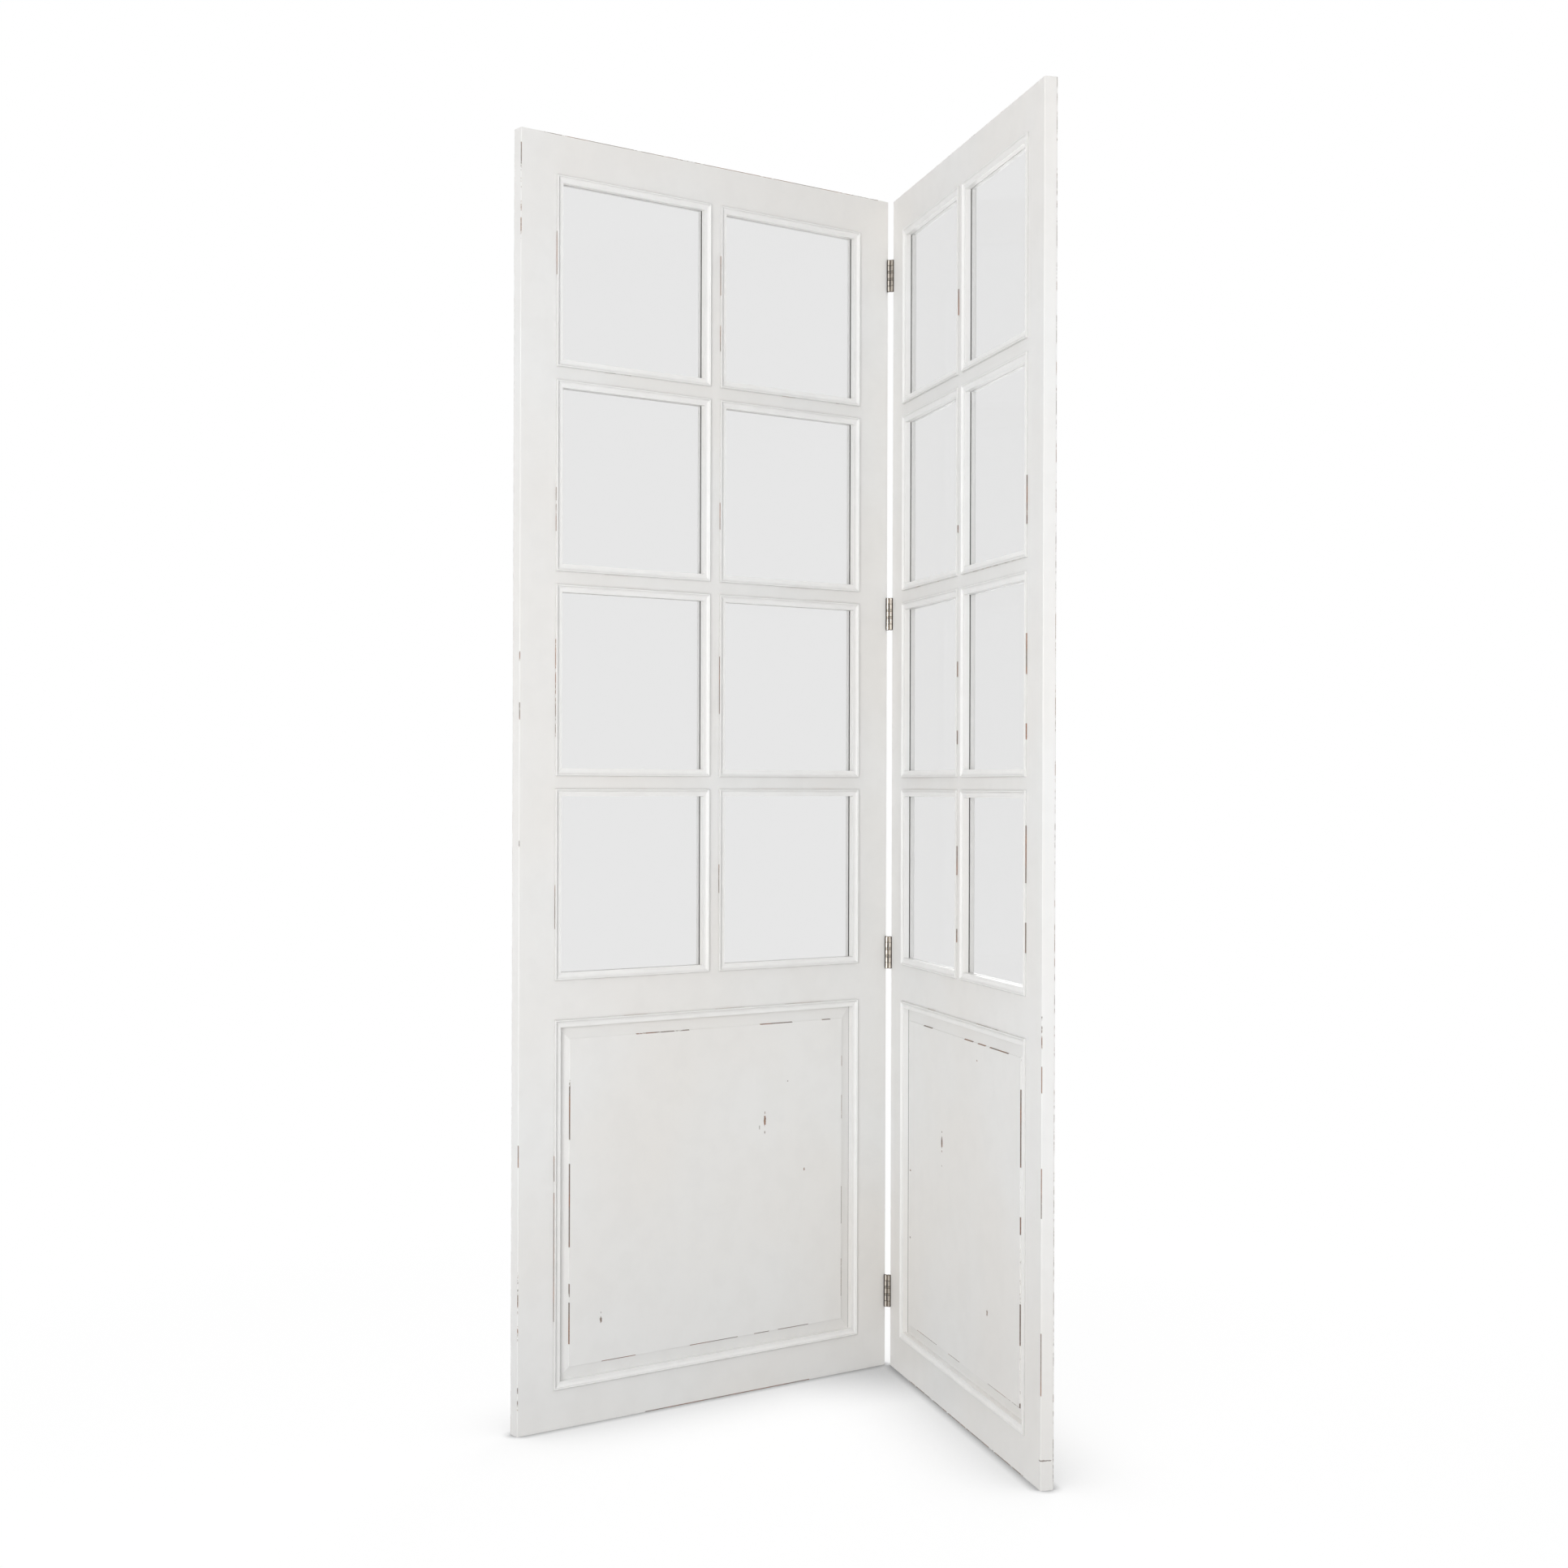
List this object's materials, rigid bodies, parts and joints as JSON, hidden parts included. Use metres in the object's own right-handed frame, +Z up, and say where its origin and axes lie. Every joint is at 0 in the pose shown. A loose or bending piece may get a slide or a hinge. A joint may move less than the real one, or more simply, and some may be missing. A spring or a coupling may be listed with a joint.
{
  "type": "folding room divider",
  "caption": "Folding room divider whose white painted leaves have a glazed grid above a raised panel and are joined by steel hinges with paired pins.",
  "frame": {"origin": "centre of the bounding box at floor level, with the leaves in the pictured V", "axes": "+Z up; the inner faces of the V look toward -Y, the hinges are at +Y; the left leaf is on -X and the right leaf on +X"},
  "size_m": [0.761, 0.566, 1.8],
  "materials": {
    "painted_wood": "satin white paint rubbed through to brown-grey along the edges",
    "painted_trim": "satin white paint with short worn dashes along the arrises",
    "clear_glass": "clear polished float glass",
    "hinge_steel": "dull nickel-plated steel"
  },
  "bodies": {
    "left_leaf": {"left_stile_outer": "painted_wood", "left_stile_hinge": "painted_wood", "left_top_rail": "painted_wood", "left_lock_rail": "painted_wood", "left_bottom_rail": "painted_wood", "left_centre_bar": "painted_wood", "left_cross_bar_1": "painted_wood", "left_cross_bar_2": "painted_wood", "left_cross_bar_3": "painted_wood", "left_raised_panel": "painted_wood", "left_pane_mouldings": "painted_trim", "left_pane_beads": "painted_trim", "left_panel_moulding": "painted_trim", "left_panel_bead": "painted_trim", "left_glass_1": "clear_glass", "left_glass_2": "clear_glass", "left_glass_3": "clear_glass", "left_glass_4": "clear_glass", "left_glass_5": "clear_glass", "left_glass_6": "clear_glass", "left_glass_7": "clear_glass", "left_glass_8": "clear_glass", "left_hinge_leaf_1": "hinge_steel", "left_hinge_leaf_2": "hinge_steel", "left_hinge_leaf_3": "hinge_steel", "left_hinge_leaf_4": "hinge_steel", "left_screws": "hinge_steel"},
    "hinge_links": {"hinge_links_1": "hinge_steel", "hinge_links_2": "hinge_steel", "hinge_links_3": "hinge_steel", "hinge_links_4": "hinge_steel", "left_pins": "hinge_steel", "right_pins": "hinge_steel"},
    "right_leaf": {"right_stile_outer": "painted_wood", "right_stile_hinge": "painted_wood", "right_top_rail": "painted_wood", "right_lock_rail": "painted_wood", "right_bottom_rail": "painted_wood", "right_centre_bar": "painted_wood", "right_cross_bar_1": "painted_wood", "right_cross_bar_2": "painted_wood", "right_cross_bar_3": "painted_wood", "right_raised_panel": "painted_wood", "right_pane_mouldings": "painted_trim", "right_pane_beads": "painted_trim", "right_panel_moulding": "painted_trim", "right_panel_bead": "painted_trim", "right_glass_1": "clear_glass", "right_glass_2": "clear_glass", "right_glass_3": "clear_glass", "right_glass_4": "clear_glass", "right_glass_5": "clear_glass", "right_glass_6": "clear_glass", "right_glass_7": "clear_glass", "right_glass_8": "clear_glass", "right_hinge_leaf_1": "hinge_steel", "right_hinge_leaf_2": "hinge_steel", "right_hinge_leaf_3": "hinge_steel", "right_hinge_leaf_4": "hinge_steel", "right_screws": "hinge_steel"}
  },
  "joints": [
    {"name": "left_pin_hinge", "type": "hinge", "parent": "left_leaf", "child": "hinge_links", "pos_m": [-0.0028, 0.27194, 0.9], "axis": [0, 0, 1], "range_deg": [-33, 62.5]},
    {"name": "right_pin_hinge", "type": "hinge", "parent": "hinge_links", "child": "right_leaf", "pos_m": [0.0028, 0.27194, 0.9], "axis": [0, 0, 1], "range_deg": [-33, 62.5]}
  ]
}
